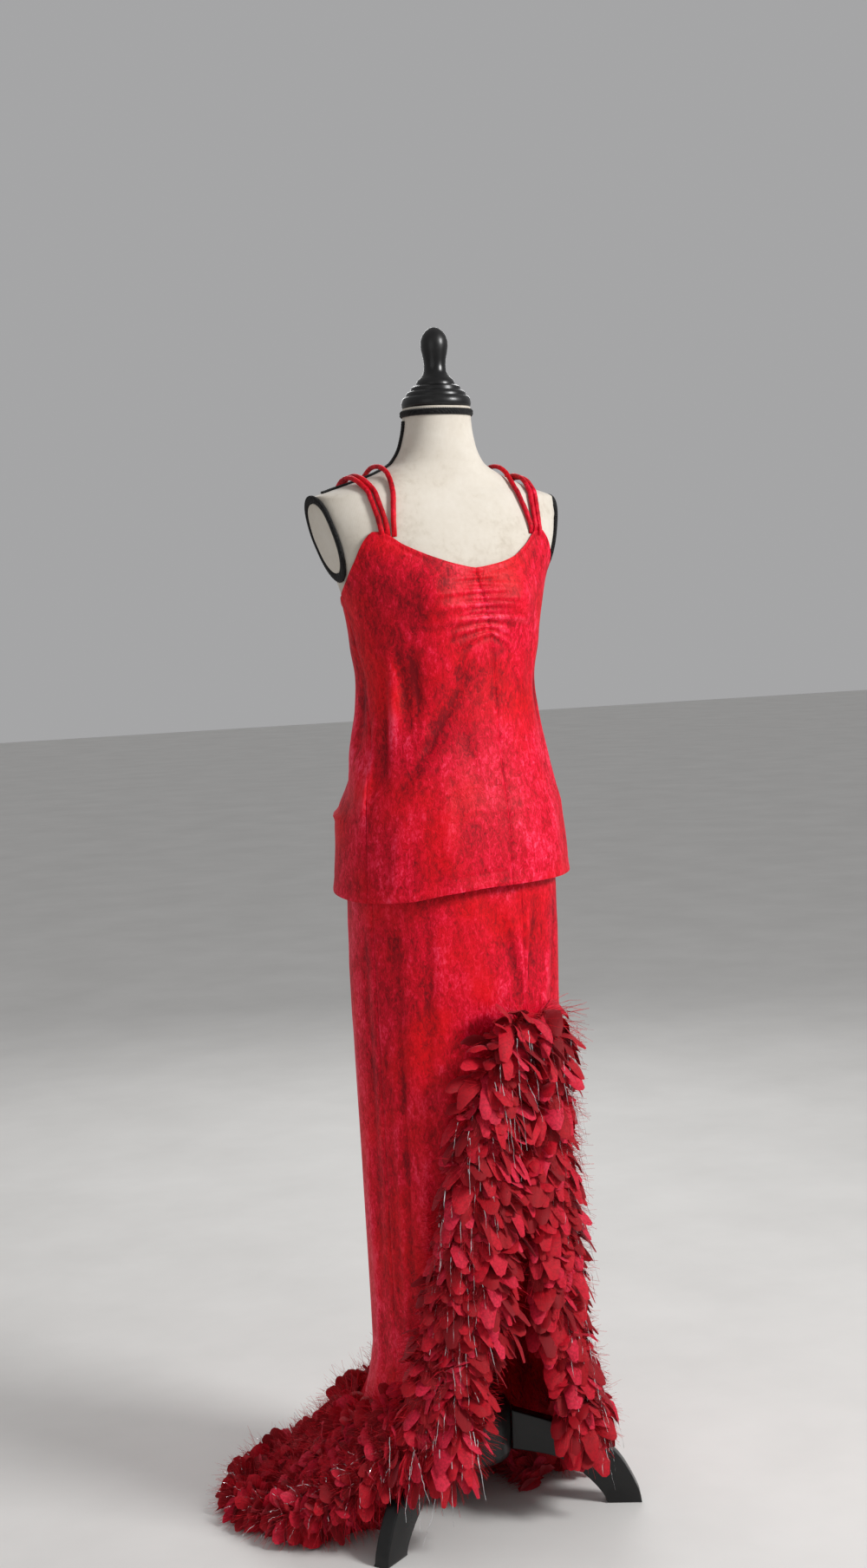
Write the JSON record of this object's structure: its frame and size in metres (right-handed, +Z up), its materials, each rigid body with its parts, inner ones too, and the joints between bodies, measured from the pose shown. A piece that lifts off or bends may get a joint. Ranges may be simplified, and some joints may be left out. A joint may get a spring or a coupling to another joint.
{
  "type": "showgirl dress on a dress form",
  "caption": "Two-piece velvet showgirl dress, a strappy tunic top over a long slit skirt with a feather-edged train, on a standing dress form.",
  "frame": {"origin": "middle of the footprint's box, on the floor that the stand's feet rest on", "axes": "+Z up along the stand's pole, the wearer faces -Y, +X is the wearer's left"},
  "size_m": [0.5568, 0.5198, 1.6943],
  "materials": {
    "velvet": "crushed velvet with a soft sheen",
    "feather": "matt feathers with metal strands",
    "jersey": "matt knitted cover",
    "braid": "matt woven braid",
    "black_wood": "satin black lacquer"
  },
  "bodies": {
    "root": {"top_front_right": "velvet", "top_front_left": "velvet", "top_back": "velvet", "strap_right_1": "velvet", "strap_right_2": "velvet", "strap_right_3": "velvet", "strap_left_1": "velvet", "strap_left_2": "velvet", "strap_left_3": "velvet", "skirt_waistband": "velvet", "skirt_front": "velvet", "skirt_side_front": "velvet", "skirt_back": "velvet", "boa_slit_right": "feather", "boa_slit_left": "feather", "boa_hem_right": "feather", "boa_train_right": "feather", "boa_train_back": "feather", "boa_train_left": "feather", "boa_hem_left": "feather", "form_torso": "jersey", "form_arm_plate_right": "jersey", "form_arm_plate_left": "jersey", "braid_arm_right": "braid", "braid_arm_left": "braid", "braid_neck": "braid", "braid_shoulder_right": "braid", "braid_shoulder_left": "braid", "form_neck_cap": "black_wood", "form_pole": "black_wood", "stand_hub": "black_wood", "stand_leg_right": "black_wood", "stand_leg_left": "black_wood", "stand_leg_back": "black_wood"}
  },
  "joints": []
}
